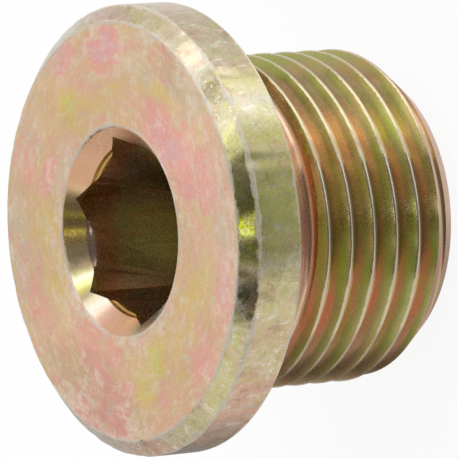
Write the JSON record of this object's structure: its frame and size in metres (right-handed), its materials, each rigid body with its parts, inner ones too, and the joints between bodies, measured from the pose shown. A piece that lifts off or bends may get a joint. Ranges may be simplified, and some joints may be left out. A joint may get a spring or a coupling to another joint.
{
  "type": "hex socket plug",
  "caption": "Collared screw plug with a parallel pipe thread, a thread undercut and a countersunk internal hex drive, in yellow passivated zinc on steel.",
  "frame": {"origin": "centre of the thread's flat end face, which the plug stands on", "axes": "+Z along the thread axis, towards the collar and the hex socket; +X towards a corner of the hex"},
  "size_m": [0.022, 0.022, 0.0148],
  "materials": {
    "yellow_zinc": "turned steel with an iridescent yellow zinc passivation"
  },
  "bodies": {
    "root": {"plug": "yellow_zinc"}
  },
  "joints": []
}
